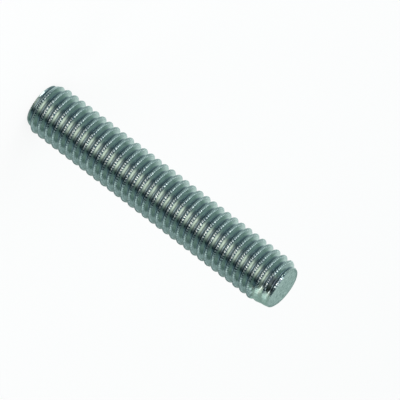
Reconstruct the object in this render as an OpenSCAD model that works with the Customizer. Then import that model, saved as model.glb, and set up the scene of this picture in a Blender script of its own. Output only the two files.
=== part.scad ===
// Threaded rod: one length of round steel bar with a rolled metric thread from end to end.
// The rod stands on its end, with +Z along its axis and the origin in the middle of its lower face.

/* [Rod] */
// Length from end face to end face
rod_len = 35; // [16:1:40]
// Diameter over the thread crests
thread_d = 6; // [5:0.25:10]

/* [Thread] */
// Distance along the rod from one crest to the next
pitch = 1; // [0.8:0.05:1.25]
// Width of the flat on the top of each crest
crest_flat = 0.125; // [0.05:0.005:0.16]
// Angle between the two flanks of a groove
flank_angle = 60; // [50:1:64]
// Depth of the straight flanks, from the crest down to where the root begins to round
flank_depth = 0.54; // [0.3:0.01:0.54]
// Further depth of the rounded root below the flanks
root_sag = 0.07; // [0.03:0.005:0.12]
// Angle about +Z at which a crest meets the lower face
crest_angle = 330; // [0:15:345]

/* [Ends] */
// Diameter of the flat face that the bevel leaves at each end
end_face_d = 4.9; // [3.6:0.1:4.9]
// Length along the rod over which the bevel rises from the end face to the crests
bevel_len = 1.1; // [0.4:0.1:2]

/* [Quality] */
// Straight steps that make one turn of the thread
steps_per_turn = 24; // [16:4:24]

/* [Hidden] */
rod_color = [0.62, 0.68, 0.66];

crest_r = thread_d / 2;
root_edge_r = crest_r - flank_depth;
root_r = root_edge_r - root_sag;
flank_run = flank_depth * tan(flank_angle / 2);

// One pitch of the thread in section, each point as [height above the crest's middle, radius].
// It runs up from the top corner of one crest to the lower corner of the next.
thread_profile = [
    [crest_flat / 2, crest_r],
    [crest_flat / 2 + flank_run, root_edge_r],
    [pitch / 2, root_r],
    [pitch - crest_flat / 2 - flank_run, root_edge_r],
    [pitch - crest_flat / 2, crest_r],
];
profile_count = len(thread_profile);

// The raw thread starts below the rod and ends above it, and the end shapes cut it to length.
turns_below = 2;
turns_above = 1;
raw_turns = ceil(rod_len / pitch) + turns_below + turns_above;
raw_steps = raw_turns * steps_per_turn;

// Each bevel is a cone that carries on outward past the crests by this much.
cone_overrun = 0.4;
face_r = end_face_d / 2;
cone_r = crest_r + cone_overrun;
cone_len = bevel_len * (cone_r - face_r) / (crest_r - face_r);

// Height of the crest's middle after a number of steps along the helix.
function crest_height(step) = pitch * (step / steps_per_turn - turns_below);

// Corner of the ribbon after a number of steps along the helix, on one line of the profile.
function thread_point(step, line) =
    let (
        azimuth = crest_angle + 360 * step / steps_per_turn,
        height = crest_height(step) + thread_profile[line][0],
        radius = thread_profile[line][1]
    )
    [radius * cos(azimuth), radius * sin(azimuth), height];

// Index of that corner. The line past the last one is the first line of the turn above.
function corner(step, line) =
    line == profile_count ? corner(step + steps_per_turn, 0)
    : step <= raw_steps ? step * profile_count + line
    : (raw_steps + 1) * profile_count + step - raw_steps - 1;

// The whole thread, as one ribbon of profile lines wound up the rod and closed over at both ends.
module raw_thread() {
    ribbon = [
        for (step = [0:raw_steps], line = [0:profile_count - 1]) thread_point(step, line)
    ];
    top_edge = [
        for (step = [raw_steps + 1:raw_steps + steps_per_turn]) thread_point(step, 0)
    ];
    lower_middle = [0, 0, crest_height(0)];
    upper_middle = [0, 0, crest_height(raw_steps + steps_per_turn)];
    lower_index = len(ribbon) + len(top_edge);
    upper_index = lower_index + 1;
    sides = [
        for (step = [0:raw_steps - 1], line = [0:profile_count - 1], half = [0, 1])
            half == 0
            ? [corner(step, line), corner(step, line + 1), corner(step + 1, line + 1)]
            : [corner(step, line), corner(step + 1, line + 1), corner(step + 1, line)]
    ];
    lower_cap = [
        for (step = [0:steps_per_turn - 1]) [corner(step, 0), corner(step + 1, 0), lower_index],
        for (line = [0:profile_count - 1]) [corner(0, line + 1), corner(0, line), lower_index]
    ];
    upper_cap = [
        for (step = [raw_steps:raw_steps + steps_per_turn - 1])
            [corner(step + 1, 0), corner(step, 0), upper_index],
        for (line = [0:profile_count - 1])
            [corner(raw_steps, line), corner(raw_steps, line + 1), upper_index]
    ];
    polyhedron(
        points = concat(ribbon, top_edge, [lower_middle, upper_middle]),
        faces = concat(sides, lower_cap, upper_cap)
    );
}

// The space inside the two flat end faces and their bevels.
module end_shape() {
    rotate_extrude($fn = 96)
        polygon([
            [0, 0],
            [face_r, 0],
            [cone_r, cone_len],
            [cone_r, rod_len - cone_len],
            [face_r, rod_len],
            [0, rod_len],
        ]);
}

module threaded_rod() {
    color(rod_color)
        intersection() {
            raw_thread();
            end_shape();
        }
}

threaded_rod();
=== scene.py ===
import math

import bpy
import numpy as np
from mathutils import Matrix, Vector


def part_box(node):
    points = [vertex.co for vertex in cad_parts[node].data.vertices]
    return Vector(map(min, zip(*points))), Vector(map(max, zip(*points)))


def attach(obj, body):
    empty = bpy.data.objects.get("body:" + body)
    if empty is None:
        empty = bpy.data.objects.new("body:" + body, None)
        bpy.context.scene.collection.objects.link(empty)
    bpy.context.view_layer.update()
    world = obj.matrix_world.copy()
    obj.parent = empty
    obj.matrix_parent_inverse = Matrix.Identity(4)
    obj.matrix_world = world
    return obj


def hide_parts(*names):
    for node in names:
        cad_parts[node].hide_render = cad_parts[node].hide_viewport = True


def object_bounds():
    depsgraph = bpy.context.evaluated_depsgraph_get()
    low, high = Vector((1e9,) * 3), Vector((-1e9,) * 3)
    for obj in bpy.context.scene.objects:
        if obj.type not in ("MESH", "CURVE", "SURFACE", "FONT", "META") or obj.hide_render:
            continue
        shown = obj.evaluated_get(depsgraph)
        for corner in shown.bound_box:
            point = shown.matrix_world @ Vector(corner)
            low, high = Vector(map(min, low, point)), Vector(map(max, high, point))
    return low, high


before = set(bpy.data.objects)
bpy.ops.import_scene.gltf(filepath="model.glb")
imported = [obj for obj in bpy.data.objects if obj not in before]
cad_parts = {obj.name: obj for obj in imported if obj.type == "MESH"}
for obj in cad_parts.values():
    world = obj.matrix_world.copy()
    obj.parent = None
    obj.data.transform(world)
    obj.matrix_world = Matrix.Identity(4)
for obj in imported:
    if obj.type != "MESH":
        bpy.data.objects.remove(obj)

scene = bpy.context.scene
scene.view_settings.view_transform = "Standard"
cad_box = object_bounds()

# The rod
# One length of round steel bar with an M6 thread rolled into it from end to end. The rolling dies
# leave a fine, uneven seam along the middle of each crest and, round the -X side, a low fold of
# metal beside it. Sizes are in millimetres.
MM = 0.001
rod_low, rod_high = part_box("threaded_rod")
rod_length = (rod_high.z - rod_low.z) / MM
crest_radius = (rod_high.x - rod_low.x) / 2 / MM
pitch = 1.0
crest_bearing = math.radians(330)
crest_rounding = 0.11
root_rounding = 0.125
seam_half_width = 0.045
seam_shallow = 0.0042
seam_deep = 0.0238
wear_half_width = 0.15
wear_depth = 0.006
fold_bearing = math.pi
fold_fade = 0.35
fold_offset = 0.15
fold_half_width = 0.03
fold_height = 0.035

# The flanks stand at 60 degrees to each other: how steeply they rise, and how far a rounding of
# radius 1 reaches to each side before it meets them.
flank_slope = math.sqrt(3)
rounding_reach = math.sqrt(0.75)

# Stations across one pitch: close together over the crest and round the root. The thread starts
# below the rod and ends above it, and each crest has its own wear at each column round the rod.
half_stations = [0, 0.028, 0.055, 0.08, 0.1, 0.12, 0.15, 0.18, 0.3, 0.4, 0.45]
stations = half_stations + [0.5] + [1 - s for s in half_stations[:0:-1]]
columns = 120
turns = math.ceil(rod_length / pitch) + 3
chance = np.random.default_rng(6)
wear_levels = chance.random((turns + 2, columns))


def crest_height(bearing):
    """Height of the middle of the first crest over a bearing."""
    return (bearing - crest_bearing) / (2 * math.pi) * pitch


def tapered(away, half_width):
    """1 on a line, falling evenly to 0 at half a width from it."""
    return np.clip(1 - away / half_width, 0, 1)


def thread_radius(height, worn, folded):
    """Radius at a height above the middle of a crest that is worn and folded from 0 to 1."""
    above = (height + pitch / 2) % pitch - pitch / 2
    away = np.abs(above)
    from_root = pitch / 2 - away
    sharp_radius = crest_radius + crest_rounding
    flank = sharp_radius - away * flank_slope
    crest_reach = crest_rounding * rounding_reach
    dome = np.sqrt(crest_rounding**2 - np.minimum(away, crest_reach) ** 2)
    root_reach = root_rounding * rounding_reach
    hollow = np.sqrt(root_rounding**2 - np.minimum(from_root, root_reach) ** 2)
    root_radius = sharp_radius - pitch / 2 * flank_slope + root_rounding
    radius = np.where(away < crest_reach, crest_radius - crest_rounding + dome, flank)
    radius = np.where(from_root < root_reach, root_radius + root_rounding - hollow, radius)
    seam_depth = seam_shallow + (seam_deep - seam_shallow) * worn
    seam = seam_depth * tapered(away, seam_half_width)
    wear = wear_depth * worn * tapered(away, wear_half_width)
    fold = fold_height * folded * tapered(np.abs(above - fold_offset), fold_half_width)
    return radius - seam - wear + fold


# The ends
# The bar is cropped with a shear. The lower end is bevelled all round. At the upper end the shear
# has smeared the thread nearly smooth on the +X side, and has turned the near side of the face up
# into a lip, so the last crest runs out at the face's edge there.
face_radius = 2.46
bevel_length = 1.1
bevel_clearance = 0.01
lip_bearing = math.radians(278)
lip_rise = 0.54
lip_reach = 2.85
lip_overhang = 0.3
lip_bevel_loss = 0.88

# The smear fades in where the side turns to face it, and fades out along its run-out. Its lower edge
# is ragged with waves, each given as its count round the rod and its size.
smear_bearing = math.radians(5)
smear_length = 2.35
smear_edge = 0.3
smear_blend = 0.55
smear_run_out = 1.1
smear_strength = 0.96
smear_overhang = 0.1
smear_sink = 0.05
ragged_waves = [(7, 0.12), (17, 0.08)]

# The mesh: rings of points across each end face, as shares of its radius, and which points and
# edges are joined or kept sharp.
face_height = rod_length - lip_rise
face_rings = [0.975, 0.93, 0.86, 0.76, 0.64, 0.5, 0.34, 0.17]
weld_distance = 0.01
sharp_angle = math.radians(50)
turn_length = crest_radius * 2 * math.pi


def facing(bearing, middle):
    """How squarely a bearing faces a middle one: 1 on it, and 0 from a quarter turn away."""
    return max(0, math.cos(bearing - middle))


def lip(x, y):
    """How far the top face is turned up over a point."""
    along = x * math.cos(lip_bearing) + y * math.sin(lip_bearing)
    return lip_rise * np.clip(along / lip_reach, 0, 1) ** 2


def depth_below_rim(bearing, height):
    """Depth of a point on the side below the edge of the top face."""
    return face_height + lip_rise * facing(bearing, lip_bearing) ** 2 - height


def smeared_share(bearing, height):
    """How far the shear has pressed the thread flat at a point on the side, from 0 to 1."""
    sweep = min(max((facing(bearing, smear_bearing) - smear_edge) / smear_blend, 0), 1)
    ragged = sum(size * math.sin(count * bearing) for count, size in ragged_waves)
    from_run_out = smear_length + ragged - depth_below_rim(bearing, height)
    upward = np.clip(from_run_out / smear_run_out, 0, 1)
    return smear_strength * sweep**2 * (3 - 2 * sweep) * upward * (2 - upward)


def rod_radius(bearing, height, worn=0.5):
    """Radius of the rod's side, with its thread and both ends."""
    folded = min(facing(bearing, fold_bearing) / fold_fade, 1)
    radius = thread_radius(height - crest_height(bearing), worn, folded)
    outermost = crest_radius + bevel_clearance
    lower = face_radius + (outermost - face_radius) * np.clip(height / bevel_length, 0, 1)
    to_lip = facing(bearing, lip_bearing)
    to_smear = facing(bearing, smear_bearing)
    rim = face_radius + lip_overhang * to_lip**3 + smear_overhang * to_smear**2
    length = bevel_length - lip_bevel_loss * to_lip**3 + (smear_length - bevel_length) * to_smear**2
    upper = rim + (outermost - rim) * np.clip(depth_below_rim(bearing, height) / length, 0, 1)
    radius = radius + (upper - smear_sink - radius) * smeared_share(bearing, height)
    return np.minimum(np.minimum(radius, lower), upper)


def rim_height(bearing):
    """Height at which the top face meets the side over a bearing, found in a few rounds."""
    radius = face_radius
    for _ in range(4):
        height = face_height + float(lip(radius * math.cos(bearing), radius * math.sin(bearing)))
        radius = float(rod_radius(bearing, height))
    return height


def wind_side():
    """The side's points, how smeared each is, both rims, and the point at each column and row.

    A row that is very near a rim or past it takes the rim's own point.
    """
    rows = np.arange((turns + 1) * len(stations) + 1)
    station = np.array(stations)[rows % len(stations)]
    turn = rows // len(stations) - 1
    nearest_crest = turn + 1 + (station > 0.5)
    points, smeared, low_rim, high_rim = [], [], [], []
    point_at = np.empty((columns, len(rows)), dtype=int)
    for c in range(columns):
        bearing = c * 2 * math.pi / columns
        across, ahead = math.cos(bearing), math.sin(bearing)
        top = rim_height(bearing)
        for rim, height in ((low_rim, 0.0), (high_rim, top)):
            radius = float(rod_radius(bearing, height))
            rim.append(len(points))
            points.append((radius * across, radius * ahead, height))
            smeared.append(float(smeared_share(bearing, height)))
        heights = (turn + station) * pitch + crest_height(bearing)
        radii = rod_radius(bearing, heights, wear_levels[nearest_crest, c])
        shares = smeared_share(bearing, heights)
        for r, (height, radius, share) in enumerate(zip(heights, radii, shares)):
            if height < weld_distance:
                point_at[c, r] = low_rim[c]
            elif height > top - weld_distance:
                point_at[c, r] = high_rim[c]
            else:
                point_at[c, r] = len(points)
                points.append((radius * across, radius * ahead, height))
                smeared.append(float(share))
    return points, smeared, low_rim, high_rim, point_at


def side_faces(point_at):
    """Faces between neighbouring columns, and each corner's place along the thread and across it."""
    faces, places = [], []
    station_ends = stations + [1.0]
    for c in range(columns):
        after = (c + 1) % columns
        turn_up = len(stations) if after == 0 else 0
        for r in range(turns * len(stations)):
            corners = [
                (point_at[c, r], c, r),
                (point_at[after, r + turn_up], c + 1, r),
                (point_at[after, r + 1 + turn_up], c + 1, r + 1),
                (point_at[c, r + 1], c, r + 1),
            ]
            kept = [k for n, k in enumerate(corners) if k[0] != corners[n - 1][0]]
            if len({point for point, _, _ in kept}) < 3:
                continue
            turn = r // len(stations)
            first_row = turn * len(stations)
            faces.append([int(point) for point, _, _ in kept])
            places.append([
                (turn_length * (turn + column / columns), station_ends[row - first_row])
                for _, column, row in kept
            ])
    return faces, places


def close_end(points, rim, is_top):
    """Faces in rings from a rim to the middle of its end, over points that it adds to the list."""
    faces = []
    outer = rim
    rim_points = [points[i] for i in rim]
    for ring in face_rings:
        inner = []
        for x, y, _ in rim_points:
            height = face_height + float(lip(x * ring, y * ring)) if is_top else 0.0
            inner.append(len(points))
            points.append((x * ring, y * ring, height))
        for c in range(columns):
            after = (c + 1) % columns
            faces.append([outer[c], outer[after], inner[after], inner[c]])
        outer = inner
    middle = len(points)
    points.append((0.0, 0.0, face_height if is_top else 0.0))
    faces += [[outer[c], outer[(c + 1) % columns], middle] for c in range(columns)]
    return faces if is_top else [face[::-1] for face in faces]


def build_rod():
    """The rod's mesh: rows that follow the helix up the side, and a ringed face at each end."""
    points, smeared, low_rim, high_rim, point_at = wind_side()
    faces, places = side_faces(point_at)
    end_faces = close_end(points, low_rim, False) + close_end(points, high_rim, True)
    places += [[points[i][:2] for i in face] for face in end_faces]
    kinds = [0] * len(faces) + [1] * len(end_faces)
    faces += end_faces
    smeared += [0.0] * (len(points) - len(smeared))

    mesh = bpy.data.meshes.new("steel_rod")
    mesh.from_pydata((np.array(points) * MM).tolist(), [], faces)
    flat_places = [number for face in places for place in face for number in place]
    uv = mesh.uv_layers.new(name="along_thread")
    uv.data.foreach_set("uv", np.array(flat_places, dtype=np.float32))
    mesh.attributes.new("smeared", "FLOAT", "POINT").data.foreach_set("value", smeared)
    mesh.polygons.foreach_set("material_index", kinds)
    mesh.polygons.foreach_set("use_smooth", [True] * len(faces))
    mesh.update()
    piece = bpy.data.objects.new("steel_rod", mesh)
    scene.collection.objects.link(piece)
    mesh.set_sharp_from_angle(angle=sharp_angle)
    return piece


steel_rod = build_rod()
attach(steel_rod, "root")
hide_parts("threaded_rod")

# Plated steel
# Thin bright zinc over rolled steel, streaked along the thread, with painted shade darkening the
# root.
# Each torn crest has painted glints in bright lines, broken by chatter marks and patches, over a
# dark colour with a painted sheen toward both sides of the rod. The shear has wiped its smear pale
# and rough.
streak_colors = (0.49, 0.59, 0.55), (0.71, 0.81, 0.76)
# Painted shade in the root.
root_shade_color = (0.06, 0.13, 0.19)
# The crest's dark colour, between its painted glints.
crest_dark_color = (0.07, 0.12, 0.15)
# Painted sheen on the crests toward both sides of the rod.
side_sheen_color = (0.44, 0.55, 0.53)
glint_color = (0.92, 1.00, 0.97)
wiped_colors = (0.66, 0.85, 0.76), (0.84, 1.00, 0.91)

# Places across the thread are shares of the pitch, counted from the middle of the root. The others
# are in millimetres: from the rod's axis for the painted root shade, and toward +X for the sides of
# the rod.
crest_edge = (0.31, 0.34)
seam_edge = (0.42, 0.45)
# Where the painted glint lines lie across the crest.
glint_lines = [(0.38, 1), (0.395, 0.2), (0.42, 0.2), (0.445, 1)]
film_edge = (2.38, 2.49)
# Toward +X, where the painted seam glint dims and where the painted sheen lies on the sides.
dim_glint_x = (-1.6, -0.4)
upper_sheen_x = (-2.3, -1)
lower_sheen_x = (1.3, 2.1)

# How much of each finish, painted shade and painted glint shows, how rough it is, and how deep its
# relief is in millimetres.
film_share = 0.75
dim_seam_glint_share = 0.25
least_glint_share = 0.6
smear_share = 0.95
dark_patch_share = 0.85
flank_roughness = (0.05, 0.13)
film_roughness = 0.1
wiped_roughness = 0.5
torn_relief = 0.04
streak_relief = 0.01
wiped_relief = 3 * streak_relief

# How fine the marks and the patches of painted glint are: how many in a millimetre along the thread
# and across it, or along X and Y for the wiped ones, and how far apart the chatter's are.
streak_scale = (0.9, 26)
glint_patch_scale = (1.3, 0.8)
wipe_scale = (7, 7)
chatter_spacing = 0.3

# Each dark patch by the near end is given as its middle, its reach and its colour.
dark_patches = [
    ((0.05, -2.65, 34.1), 0.7, (0.10, 0.13, 0.17)),
    ((0.95, -2.55, 34.7), 0.6, (0.04, 0.06, 0.07)),
    ((-0.42, -2.8, 34.9), 0.36, (0.04, 0.06, 0.07)),
]


class Shading:
    """The nodes of one material or world. A value is an output, a number or a colour."""

    def __init__(self, tree):
        self.nodes = tree.nodes
        self.links = tree.links

    def feed(self, socket, value):
        """Links a socket to another node's output, or sets it."""
        if isinstance(value, bpy.types.NodeSocket):
            self.links.new(value, socket)
        elif socket.type == "RGBA":
            socket.default_value = (*value, 1)
        else:
            socket.default_value = value

    def node(self, kind, inputs=None, **settings):
        """A new node, with its settings and what goes into its sockets, by name or number."""
        node = self.nodes.new("ShaderNode" + kind)
        for name, setting in settings.items():
            setattr(node, name, setting)
        for socket, value in (inputs or {}).items():
            self.feed(node.inputs[socket], value)
        return node

    def calc(self, operation, *values):
        """The result of one sum on numbers."""
        return self.node("Math", dict(enumerate(values)), operation=operation).outputs[0]

    def vector(self, operation, inputs, output="Vector"):
        """The result of one sum on vectors."""
        return self.node("VectorMath", inputs, operation=operation).outputs[output]

    def noise(self, vector, scale, detail):
        """Noise over a place in millimetres, with a scale for each of its first two ways."""
        stretched = self.node("Mapping", {"Vector": vector, "Scale": (*scale, 1)}).outputs["Vector"]
        grain = self.node("TexNoise", {"Vector": stretched, "Scale": 1, "Detail": detail})
        return grain.outputs["Fac"]

    def ranged(self, value, from_low, from_high, to_low=0.0, to_high=1.0):
        """A value carried smoothly from one range to another."""
        limits = {"From Min": from_low, "From Max": from_high, "To Min": to_low, "To Max": to_high}
        carry = self.node("MapRange", {"Value": value, **limits}, interpolation_type="SMOOTHSTEP")
        return carry.outputs["Result"]

    def blend(self, share, first, second):
        """One colour changed toward another by a share. A mix node's colours are inputs 6 and 7."""
        return self.node("Mix", {"Factor": share, 6: first, 7: second}, data_type="RGBA").outputs[2]

    def ramp(self, share, stops):
        """The colour or level at a share from 0 to 1, given at some places along it."""
        node = self.node("ValToRGB", {"Fac": share})
        elements = node.color_ramp.elements
        for n, (place, color) in enumerate(stops):
            element = elements[n] if n < 2 else elements.new(place)
            element.position = place
            element.color = (*color, 1) if isinstance(color, tuple) else (color, color, color, 1)
        return node.outputs["Color"]

    def relief(self, height, distance, strength=1.0):
        """A bump node that raises the surface by a distance where the height is 1."""
        return self.node("Bump", {"Height": height, "Distance": distance, "Strength": strength})


def new_metal(name, color, roughness):
    """A metal for the rod: its shading, and the sockets of its shader."""
    material = bpy.data.materials.new(name)
    material.use_nodes = True
    sockets = material.node_tree.nodes["Principled BSDF"].inputs
    sockets["Base Color"].default_value = (*color, 1)
    sockets["Metallic"].default_value = 1
    sockets["Roughness"].default_value = roughness
    steel_rod.data.materials.append(material)
    return Shading(material.node_tree), sockets


# Where a point lies: along and across the thread, and in the rod's own millimetres.
steel, steel_sockets = new_metal("plated_thread", (0.62, 0.69, 0.66), 0.15)
along_thread = steel.node("UVMap", uv_map="along_thread").outputs["UV"]
across_pitch = steel.node("SeparateXYZ", {"Vector": along_thread}).outputs["Y"]
from_root = steel.calc("ABSOLUTE", steel.calc("SUBTRACT", across_pitch, 0.5))
place_mm = steel.vector("SCALE", {0: steel.node("TexCoord").outputs["Object"], "Scale": 1 / MM})
flat_place = steel.vector("MULTIPLY", {0: place_mm, 1: (1, 1, 0)})
from_axis = steel.vector("LENGTH", {0: flat_place}, "Value")
sideways = steel.node("SeparateXYZ", {"Vector": place_mm}).outputs["X"]

# The flanks, with painted shade in the root.
streaks = steel.noise(along_thread, streak_scale, 4)
streaked = steel.blend(steel.ranged(streaks, 0.3, 0.7), *streak_colors)
film = steel.ranged(from_axis, *film_edge, film_share, 0)
flank_color = steel.blend(film, streaked, root_shade_color)

# The crests, with painted glints. The chatter's waves repeat over wave_repeat at scale 1, and the
# painted glint along the seam is dimmer on the -X side.
wave_repeat = 2 * math.pi / 20
waves = steel.node("TexWave", {
    "Vector": along_thread,
    "Scale": wave_repeat / chatter_spacing,
    "Distortion": 5,
    "Detail": 1,
    "Detail Scale": 1.5,
})
chatter = steel.ranged(waves.outputs["Fac"], 0.34, 0.46)
on_dim_glint_side = steel.ranged(sideways, *dim_glint_x, 1, 0)
on_seam = steel.ranged(from_root, *seam_edge)
on_dim_glint_seam = steel.calc("MULTIPLY", on_dim_glint_side, on_seam)
seam_glint_dimmer = steel.ranged(on_dim_glint_seam, 0, 1, 1, dim_seam_glint_share)
glint_patch_noise = steel.noise(along_thread, glint_patch_scale, 2)
glint_patches = steel.ranged(glint_patch_noise, 0.38, 0.56, least_glint_share, 1)
# Painted glints in bright lines, dimmed by the chatter, along the seam on the -X side, and in
# patches.
glints = steel.ramp(from_root, glint_lines)
for dimmer in (chatter, seam_glint_dimmer, glint_patches):
    glints = steel.calc("MULTIPLY", glints, dimmer)
# Painted sheen, paler toward both sides of the rod.
upper_sheen = steel.ranged(sideways, *upper_sheen_x, 1, 0)
lower_sheen = steel.ranged(sideways, *lower_sheen_x)
side_sheen = steel.calc("ADD", upper_sheen, lower_sheen)
glinting_crest_color = steel.blend(glints, steel.blend(side_sheen, crest_dark_color, side_sheen_color), glint_color)
on_crest = steel.ranged(from_root, *crest_edge)
thread_color = steel.blend(on_crest, flank_color, glinting_crest_color)

# The smear and the dark patches by the near end.
smeared = steel.node("Attribute", attribute_name="smeared").outputs["Fac"]
pressed = steel.ranged(smeared, 0, 0.45, 0, smear_share)
wipe_marks = steel.noise(place_mm, wipe_scale, 4)
wiped_color = steel.blend(steel.ranged(wipe_marks, 0.35, 0.65), *wiped_colors)
steel_color = steel.blend(pressed, thread_color, wiped_color)
for middle, reach, dark_patch_color in dark_patches:
    from_dark_patch = steel.vector("DISTANCE", {0: place_mm, 1: middle}, "Value")
    dark_patch = steel.ranged(from_dark_patch, reach / 2, reach, dark_patch_share, 0)
    steel_color = steel.blend(dark_patch, steel_color, dark_patch_color)
steel.feed(steel_sockets["Base Color"], steel_color)

# Roughness and relief.
roughness = steel.ranged(streaks, 0.3, 0.7, *flank_roughness)
for share, rougher in ((film, film_roughness), (pressed, wiped_roughness)):
    roughness = steel.calc("ADD", roughness, steel.calc("MULTIPLY", share, rougher))
steel.feed(steel_sockets["Roughness"], roughness)
crest_relief = steel.relief(steel.calc("MULTIPLY", on_crest, chatter), torn_relief * MM)
raised_marks = steel.calc("MULTIPLY", wipe_marks, wiped_relief / streak_relief)
fine_height = steel.calc("ADD", streaks, steel.calc("MULTIPLY", pressed, raised_marks))
fine_relief = steel.relief(fine_height, streak_relief * MM, strength=0.5)
steel.feed(fine_relief.inputs["Normal"], crest_relief.outputs["Normal"])
steel.feed(steel_sockets["Normal"], fine_relief.outputs["Normal"])

# Cropped face
# The end faces are satin from the shear, mottled with fine marks dragged across them, and with a
# painted dark reflection round the edge.
mottle_colors = (0.31, 0.43, 0.39), (0.64, 0.77, 0.72)
# A painted dark reflection darkens the rim of each face.
rim_reflection_color = (0.24, 0.34, 0.32)
rim_reflection_radii = (2.1, 2.4)
rim_reflection_share = 0.6
drag_scale = (2.4, 9)
drag_relief = 0.02
satin, satin_sockets = new_metal("cropped_face", (0.44, 0.54, 0.51), 0.4)
across_face = satin.node("UVMap", uv_map="along_thread").outputs["UV"]
drag_marks = satin.noise(across_face, drag_scale, 5)
mottled = satin.blend(satin.ranged(drag_marks, 0.4, 0.6), *mottle_colors)
from_middle = satin.vector("LENGTH", {0: across_face}, "Value")
rim_reflection = satin.ranged(from_middle, *rim_reflection_radii, 0, rim_reflection_share)
satin.feed(satin_sockets["Base Color"], satin.blend(rim_reflection, mottled, rim_reflection_color))
satin.feed(satin_sockets["Normal"], satin.relief(drag_marks, drag_relief * MM).outputs["Normal"])

# The floor
# A plain pale studio floor that the rod stands on, in metres. It shows white, still takes a soft
# shadow, and is hidden from reflections.
floor_size = 3.0
floor_gap = 0.01 * MM
floor_color = (0.9, 0.9, 0.9)
glow_share = 0.85
half = floor_size / 2
floor_corners = [(-half, -half, 0), (half, -half, 0), (half, half, 0), (-half, half, 0)]
floor_mesh = bpy.data.meshes.new("studio_floor")
floor_mesh.from_pydata(floor_corners, [], [(0, 1, 2, 3)])
floor = bpy.data.objects.new("studio_floor", floor_mesh)
floor.location.z = cad_box[0].z - floor_gap
scene.collection.objects.link(floor)
floor.visible_glossy = False
floor_material = bpy.data.materials.new("pale_floor")
floor_material.use_nodes = True
paper = Shading(floor_material.node_tree)
paper.nodes.remove(paper.nodes["Principled BSDF"])
matte = paper.node("BsdfDiffuse", {"Color": floor_color}).outputs["BSDF"]
glow = paper.node("Emission", {"Color": (1, 1, 1), "Strength": 1}).outputs["Emission"]
seen = paper.node("LightPath").outputs["Is Camera Ray"]
glowing = paper.calc("MULTIPLY", seen, glow_share)
surface = paper.node("MixShader", {"Fac": glowing, 1: matte, 2: glow}).outputs["Shader"]
paper.feed(paper.nodes["Material Output"].inputs["Surface"], surface)
floor_mesh.materials.append(floor_material)

# The light
# A pale room. The colour of its walls differs with the compass bearing in degrees, 0 being the
# camera's side and positive bearings going round through +X, and with the height. A warm window
# stands by the camera, with a dim bar across it, and one soft box hangs above the camera.
low_walls = [
    (-180, (0.62, 0.74, 0.73)),
    (-120, (0.50, 0.62, 0.63)),
    (-90, (0.32, 0.42, 0.44)),
    (-66, (0.25, 0.34, 0.36)),
    (-42, (0.36, 0.43, 0.44)),
    (28, (0.34, 0.36, 0.36)),
    (42, (0.12, 0.17, 0.17)),
    (58, (0.17, 0.23, 0.22)),
    (78, (0.20, 0.25, 0.24)),
    (104, (0.22, 0.29, 0.28)),
    (146, (0.20, 0.26, 0.25)),
    (180, (0.62, 0.74, 0.73)),
]
level_walls = [
    (-180, (0.64, 0.76, 0.75)),
    (-150, (0.58, 0.70, 0.69)),
    (-110, (0.29, 0.38, 0.38)),
    (-78, (0.28, 0.36, 0.38)),
    (-66, (0.27, 0.36, 0.37)),
    (-50, (0.24, 0.31, 0.33)),
    (-32, (0.16, 0.20, 0.22)),
    (0, (0.05, 0.06, 0.07)),
    (30, (0.01, 0.03, 0.04)),
    (56, (0.02, 0.04, 0.05)),
    (68, (0.18, 0.25, 0.28)),
    (90, (0.30, 0.38, 0.36)),
    (112, (0.17, 0.24, 0.24)),
    (134, (0.17, 0.23, 0.23)),
    (158, (0.20, 0.27, 0.26)),
    (172, (0.34, 0.42, 0.41)),
    (180, (0.64, 0.76, 0.75)),
]
high_walls = [
    (-180, (0.45, 0.54, 0.54)),
    (-135, (0.36, 0.46, 0.47)),
    (-92, (0.80, 0.97, 0.97)),
    (-60, (0.26, 0.33, 0.35)),
    (-36, (0.09, 0.12, 0.14)),
    (30, (0.18, 0.24, 0.26)),
    (56, (0.12, 0.18, 0.20)),
    (72, (0.50, 0.66, 0.68)),
    (92, (1.10, 1.30, 1.30)),
    (112, (0.74, 0.90, 0.90)),
    (130, (0.38, 0.48, 0.49)),
    (152, (0.26, 0.35, 0.36)),
    (180, (0.45, 0.54, 0.54)),
]
ceiling = [
    (-180, (0.90, 1.05, 1.03)),
    (-120, (1.10, 1.26, 1.24)),
    (-84, (1.12, 1.28, 1.26)),
    (-60, (0.50, 0.60, 0.60)),
    (-30, (0.28, 0.34, 0.35)),
    (135, (0.20, 0.25, 0.26)),
    (165, (0.55, 0.66, 0.65)),
    (180, (0.90, 1.05, 1.03)),
]
zenith_color = (1.05, 1.2, 1.18)

# How far the window is open in each bearing, and at each angle above level.
window_color = (1.52, 1.39, 1.30)
window_width = [
    (-180, 0),
    (-36, 0),
    (-24, 0.35),
    (-10, 1),
    (14, 1),
    (24, 0.75),
    (36, 0.35),
    (50, 0),
    (180, 0),
]
window_height = [
    (-90, 0),
    (-62, 0.1),
    (-48, 1),
    (-31, 1),
    (-26, 0.45),
    (-12, 0.25),
    (2, 0.75),
    (34, 0.75),
    (50, 0.2),
]

world = bpy.data.worlds.new("pale_room")
scene.world = world
world.use_nodes = True
room = Shading(world.node_tree)
sight = room.node("TexCoord").outputs["Generated"]
sight_parts = room.node("SeparateXYZ", {"Vector": sight}).outputs
toward_camera = room.calc("MULTIPLY", sight_parts["Y"], -1)
bearing = room.calc("ARCTAN2", sight_parts["X"], toward_camera)
rise = sight_parts["Z"]
round_share = room.calc("MULTIPLY_ADD", bearing, 1 / (2 * math.pi), 0.5)
height_share = room.calc("MULTIPLY_ADD", rise, 0.5, 0.5)


def round_the_room(walls):
    """The colour or level of some walls in the bearing that is looked at."""
    return room.ramp(round_share, [((degrees + 180) / 360, color) for degrees, color in walls])


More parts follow.
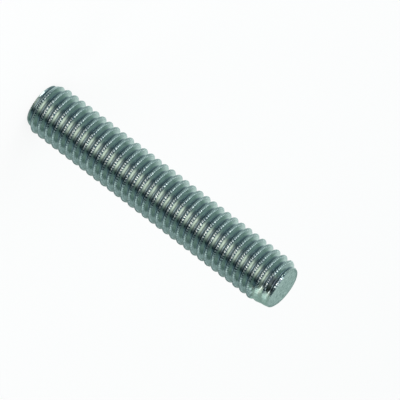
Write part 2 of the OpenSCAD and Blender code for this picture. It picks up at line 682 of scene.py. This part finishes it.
# Each layer of the room takes over from the one below it between two rises of the line of sight.
layers = [
    (round_the_room(level_walls), -0.52, -0.38),
    (round_the_room(high_walls), 0.22, 0.42),
    (round_the_room(ceiling), 0.74, 0.84),
    (zenith_color, 0.94, 0.98),
]
room_color = round_the_room(low_walls)
for layer_color, begins, ends in layers:
    room_color = room.blend(room.ranged(rise, begins, ends), room_color, layer_color)
window_rows = [((math.sin(math.radians(angle)) + 1) / 2, level) for angle, level in window_height]
open_rows = room.ramp(height_share, window_rows)
opening = room.calc("MULTIPLY", round_the_room(window_width), open_rows)
room_color = room.blend(opening, room_color, window_color)
room.feed(room.nodes["Background"].inputs["Color"], room_color)

lamp_toward = Vector((-0.24, -0.57, 0.79)).normalized()
lamp_distance = 0.5
lamp = bpy.data.lights.new("front_soft_box", "AREA")
lamp.shape = "RECTANGLE"
lamp.size = 0.8
lamp.size_y = 0.25
lamp.energy = 1.8
soft_box = bpy.data.objects.new("front_soft_box", lamp)
soft_box.location = lamp_toward * lamp_distance + Vector((0, 0, rod_length / 2 * MM))
soft_box.rotation_mode = "QUATERNION"
soft_box.rotation_quaternion = lamp_toward.to_track_quat("Z", "Y")
soft_box.visible_camera = False
scene.collection.objects.link(soft_box)

# The camera
# A very long lens, as the photograph shows no perspective. The line of sight is 69.4 degrees from
# the rod's axis, and the near end points down to the right, 37.4 degrees below the horizontal.
sight_angle = math.radians(69.4)
axis_slope = math.radians(-37.4)
pixels_per_mm = 9.37
picture_width = 400
aim = Vector((-2.134, 0, 20.995)) * MM
camera_data = bpy.data.cameras.new("camera")
camera_data.sensor_width = 36
camera_data.lens = 1000
camera_data.clip_end = 10
camera = bpy.data.objects.new("camera", camera_data)
back = Vector((0, -math.sin(sight_angle), math.cos(sight_angle)))
along = Vector((0, math.cos(sight_angle), math.sin(sight_angle)))
across = Vector((1, 0, 0))
right = math.cos(axis_slope) * along + math.sin(axis_slope) * across
up = math.sin(axis_slope) * along - math.cos(axis_slope) * across
distance = camera_data.lens / camera_data.sensor_width * picture_width / pixels_per_mm * MM
turned = Matrix((right, up, back)).transposed().to_4x4()
camera.matrix_world = Matrix.Translation(aim + back * distance) @ turned
scene.collection.objects.link(camera)
scene.camera = camera
